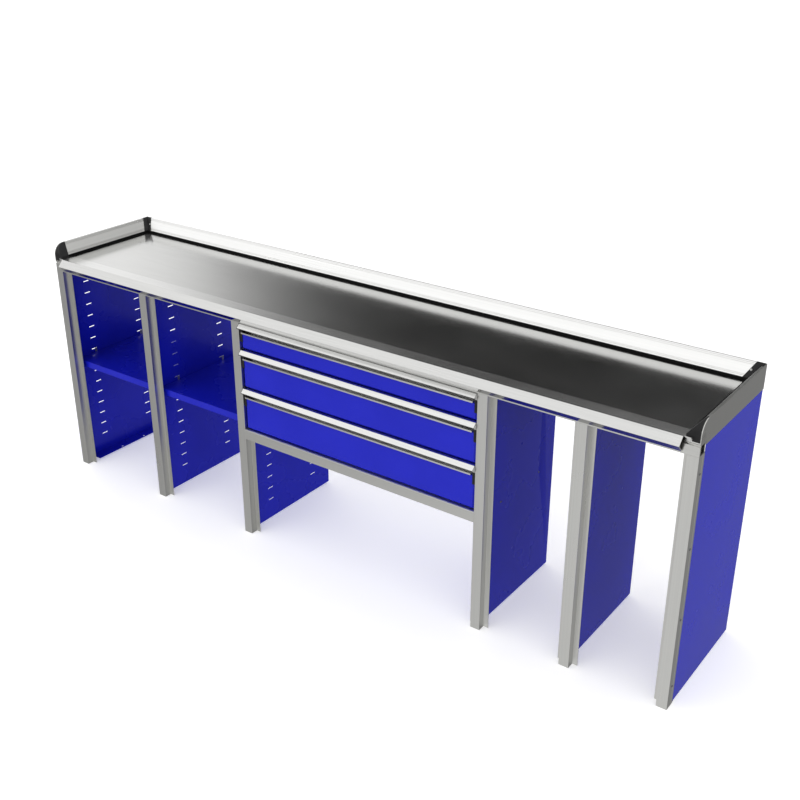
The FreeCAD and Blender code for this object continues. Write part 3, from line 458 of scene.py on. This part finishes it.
def screw_rows():
    """Node group: one screw with a socket recess, repeated in rows and columns."""
    group = bpy.data.node_groups.new("screw_rows", "GeometryNodeTree")
    face = group.interface
    wanted = (
        ("Rows", "NodeSocketInt", 4), ("Row Pitch", "NodeSocketFloat", 0.275),
        ("Columns", "NodeSocketInt", 1), ("Column Pitch", "NodeSocketFloat", 0.283),
        ("Head Radius", "NodeSocketFloat", HEAD), ("Head Height", "NodeSocketFloat", HEAD_HEIGHT),
        ("Shank Radius", "NodeSocketFloat", 2.45 * MM), ("Shank Length", "NodeSocketFloat", 6 * MM),
        ("Socket Width", "NodeSocketFloat", 2.1 * MM), ("Turn", "NodeSocketRotation", None),
        ("Finish", "NodeSocketMaterial", None),
    )
    for title, kind, value in wanted:
        socket = face.new_socket(title, in_out="INPUT", socket_type=kind)
        if value is not None:
            socket.default_value = value
    face.new_socket("Screws", in_out="OUTPUT", socket_type="NodeSocketGeometry")
    add = group.nodes.new
    link = group.links.new
    given = add("NodeGroupInput").outputs

    def times(value, factor):
        node = add("ShaderNodeMath")
        node.operation = "MULTIPLY"
        link(value, node.inputs[0])
        node.inputs[1].default_value = factor
        return node.outputs[0]

    def along(value, axis):
        node = add("ShaderNodeCombineXYZ")
        link(value, node.inputs[axis])
        return node.outputs["Vector"]

    def moved(geometry, offset):
        node = add("GeometryNodeTransform")
        link(geometry, node.inputs["Geometry"])
        link(offset, node.inputs["Translation"])
        return node.outputs["Geometry"]

    head = add("GeometryNodeMeshCone")
    head.inputs["Vertices"].default_value = HEAD_SIDES
    link(times(given["Head Radius"], HEAD_TOP_SHARE), head.inputs["Radius Top"])
    link(given["Head Radius"], head.inputs["Radius Bottom"])
    link(given["Head Height"], head.inputs["Depth"])
    hollow = add("GeometryNodeMeshCylinder")
    hollow.inputs["Vertices"].default_value = SOCKET_SIDES
    link(given["Socket Width"], hollow.inputs["Radius"])
    link(given["Head Height"], hollow.inputs["Depth"])
    cut = add("GeometryNodeMeshBoolean")
    cut.operation = "DIFFERENCE"
    link(head.outputs["Mesh"], cut.inputs["Mesh 1"])
    socket_lift = along(times(given["Head Height"], SOCKET_LIFT), "Z")
    link(moved(hollow.outputs["Mesh"], socket_lift), cut.inputs["Mesh 2"])
    shank = add("GeometryNodeMeshCylinder")
    shank.inputs["Vertices"].default_value = SHANK_SIDES
    link(given["Shank Radius"], shank.inputs["Radius"])
    link(given["Shank Length"], shank.inputs["Depth"])
    joined = add("GeometryNodeJoinGeometry")
    link(cut.outputs["Mesh"], joined.inputs["Geometry"])
    shank_drop = along(times(given["Shank Length"], -0.5), "Z")
    link(moved(shank.outputs["Mesh"], shank_drop), joined.inputs["Geometry"])

    columns = add("GeometryNodeMeshLine")
    link(given["Columns"], columns.inputs["Count"])
    link(along(given["Column Pitch"], "Y"), columns.inputs["Offset"])
    rows = add("GeometryNodeMeshLine")
    link(given["Rows"], rows.inputs["Count"])
    link(along(given["Row Pitch"], "Z"), rows.inputs["Offset"])
    places = add("GeometryNodeInstanceOnPoints")
    link(columns.outputs["Mesh"], places.inputs["Points"])
    link(rows.outputs["Mesh"], places.inputs["Instance"])
    spread = add("GeometryNodeRealizeInstances")
    link(places.outputs["Instances"], spread.inputs["Geometry"])
    repeat = add("GeometryNodeInstanceOnPoints")
    link(spread.outputs["Geometry"], repeat.inputs["Points"])
    link(joined.outputs["Geometry"], repeat.inputs["Instance"])
    link(given["Turn"], repeat.inputs["Rotation"])
    solid = add("GeometryNodeRealizeInstances")
    link(repeat.outputs["Instances"], solid.inputs["Geometry"])
    painted = add("GeometryNodeSetMaterial")
    link(solid.outputs["Geometry"], painted.inputs["Geometry"])
    link(given["Finish"], painted.inputs["Material"])
    link(painted.outputs["Geometry"], add("NodeGroupOutput").inputs["Screws"])
    return group


SCREW_ROWS = screw_rows()


def screws(node, sets, finish):
    """All the screws of one node: each set has its first place, its direction and its own counts."""
    board = bmesh.new()
    for place, outward, counts in sets:
        holder = bpy.data.objects.new("screws", bpy.data.meshes.new("screws"))
        bpy.context.scene.collection.objects.link(holder)
        maker = holder.modifiers.new("Screws", "NODES")
        maker.node_group = SCREW_ROWS
        turn = Vector(outward).to_track_quat("Z", "Y").to_euler()
        values = {"Turn": turn, "Finish": finish, **counts}
        for item in SCREW_ROWS.interface.items_tree:
            if item.in_out == "INPUT" and item.name in values:
                maker[item.identifier] = values[item.name]
        graph = bpy.context.evaluated_depsgraph_get()
        made = bpy.data.meshes.new_from_object(holder.evaluated_get(graph))
        made.transform(Matrix.Translation(place))
        board.from_mesh(made)
        bpy.data.objects.remove(holder)
        bpy.data.meshes.remove(made)
    mesh = bpy.data.meshes.new(node)
    bmesh.ops.remove_doubles(board, verts=board.verts, dist=WELD)
    board.to_mesh(mesh)
    board.free()
    own_piece(f"{node}.turned", mesh, body_of_node(node), SLOT_OF[node], finish, node)


def both_sides(node, rows, columns):
    """The screws that point out of a left and a right face, spread over the node's whole height and depth."""
    low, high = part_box(node)
    counts = {"Rows": rows, "Columns": columns}
    if rows > 1:
        counts["Row Pitch"] = (high.z - low.z - 2 * HEAD) / (rows - 1)
    if columns > 1:
        counts["Column Pitch"] = (high.y - low.y - 2 * HEAD) / (columns - 1)
    sets = []
    for side, face in ((-1, low.x + HEAD_HEIGHT), (1, high.x - HEAD_HEIGHT)):
        sets.append(((face, low.y + HEAD, low.z + HEAD), (side, 0, 0), counts))
    screws(node, sets, SCREW_FINISH)


CORNER_SLOPE = (0, -49, 35)
RIM_DEPTH = 0.1 * MM


def corner_heads():
    """The two screws that lie square on the corner blocks' slope."""
    sets = []
    outward = Vector(CORNER_SLOPE).normalized()
    for side in (-1, 1):
        island = [v.co for v in NODES["corner_screws"].data.vertices if v.co.x * side > 0]
        reach = max(point.dot(outward) for point in island)
        rim = [point for point in island if point.dot(outward) > reach - RIM_DEPTH]
        middle = sum(rim, Vector()) / len(rim) - outward * HEAD_HEIGHT
        sets.append((middle, outward, {"Rows": 1, "Columns": 1}))
    screws("corner_screws", sets, FINISHES["clip_steel"])


both_sides("upright_screws", 4, 1)
both_sides("carrier_screws", 2, 2)
corner_heads()

for node, thing in NODES.items():
    thing.data.materials.clear()
    thing.data.materials.append(finish_of(node))


# Floor, light and camera

FLOOR_HALF_WIDTH = 30
RING_TOP = (0.47, 0.68)
HORIZON_BLUR = 0.06
SKY_STRENGTH = 1.2
CAMERA_PLACE = (2.54189, -3.21983, 2.58993)
CAMERA_DIP = 0.4411
CAMERA_BEARING = 0.6286


def pale_floor():
    mesh = bpy.data.meshes.new("floor")
    board = bmesh.new()
    bmesh.ops.create_grid(board, x_segments=1, y_segments=1, size=FLOOR_HALF_WIDTH)
    board.to_mesh(mesh)
    board.free()
    floor = bpy.data.objects.new("floor", mesh)
    bpy.context.scene.collection.objects.link(floor)
    material, _, shader = new_material("pale_floor")
    shader.inputs["Base Color"].default_value = (0.85, 0.85, 0.85, 1)
    shader.inputs["Roughness"].default_value = 0.6
    shader.inputs["Emission Color"].default_value = (1, 1, 1, 1)
    shader.inputs["Emission Strength"].default_value = 0.35
    mesh.materials.append(material)
    floor.visible_glossy = False


def soft_light(name, place, target, size, watts):
    light = bpy.data.lights.new(name, "AREA")
    light.shape = "RECTANGLE"
    light.size, light.size_y = size
    light.energy = watts
    lamp = bpy.data.objects.new(name, light)
    bpy.context.scene.collection.objects.link(lamp)
    lamp.visible_glossy = False
    direction = Vector(target) - Vector(place)
    turn = direction.to_track_quat("-Z", "Y").to_matrix().to_4x4()
    lamp.matrix_world = Matrix.Translation(place) @ turn


def studio_sky():
    """A bright surround with one darker stretch low behind the bench, and greyer below the horizon."""
    world = bpy.data.worlds.new("studio")
    bpy.context.scene.world = world
    world.use_nodes = True
    tree = world.node_tree
    add, link = tree.nodes.new, tree.links.new
    split = add("ShaderNodeSeparateXYZ")
    link(add("ShaderNodeTexCoord").outputs["Generated"], split.inputs["Vector"])
    bearing = add("ShaderNodeMath")
    bearing.operation = "ARCTAN2"
    link(split.outputs["X"], bearing.inputs[0])
    link(split.outputs["Y"], bearing.inputs[1])
    round_the_room = remap(tree, bearing.outputs[0], 0, 1, -math.pi, math.pi)

    def ring(stops):
        """Grey levels by bearing in degrees, from behind the bench."""
        node = add("ShaderNodeValToRGB")
        ramp = node.color_ramp
        for element, (_, level) in zip(ramp.elements, (stops[0], stops[-1])):
            element.color = (level, level, level, 1)
        for degrees, level in stops[1:-1]:
            ramp.elements.new(degrees / 360 + 0.5).color = (level, level, level, 1)
        link(round_the_room, node.inputs["Fac"])
        return node.outputs["Color"]

    low_ring = ring((
        (-180, 1.0), (-53, 1.0), (-50, 0.95), (-47, 0.74), (-44.5, 0.36), (-42, 0.17), (-39, 0.045),
        (-35, 0.02), (5, 0.02), (24, 0.15), (38, 0.2), (62, 0.5), (90, 1.0), (180, 1.0),
    ))
    under_ring = ring((
        (-180, 0.76), (-161, 0.74), (-149, 0.65), (-135, 0.39), (-130, 0.33), (-126, 0.28),
        (-60, 0.40), (0, 0.3), (36, 0.2), (90, 0.5), (180, 0.76),
    ))
    open_sky = ring(((-180, 1.0), (180, 1.0)))
    height = remap(tree, split.outputs["Z"], 0, 1, *RING_TOP)
    above = blend(tree, height, low_ring, open_sky, colour=True)
    horizon = remap(tree, split.outputs["Z"], 0, 1, -HORIZON_BLUR, HORIZON_BLUR)
    sky = blend(tree, horizon, under_ring, above, colour=True)
    background = tree.nodes["Background"]
    link(sky, background.inputs["Color"])
    background.inputs["Strength"].default_value = SKY_STRENGTH


def look_from():
    camera = bpy.data.cameras.new("camera")
    camera.sensor_width = 36
    camera.lens = 50.05
    holder = bpy.data.objects.new("camera", camera)
    bpy.context.scene.collection.objects.link(holder)
    holder.location = CAMERA_PLACE
    holder.rotation_euler = (math.pi / 2 - CAMERA_DIP, 0, CAMERA_BEARING)
    bpy.context.scene.camera = holder


pale_floor()
studio_sky()
soft_light("key", (-2.5, -4.0, 4.5), (0, 0, 0.5), (4, 3), 25)
bpy.context.scene.view_settings.view_transform = "Standard"
look_from()
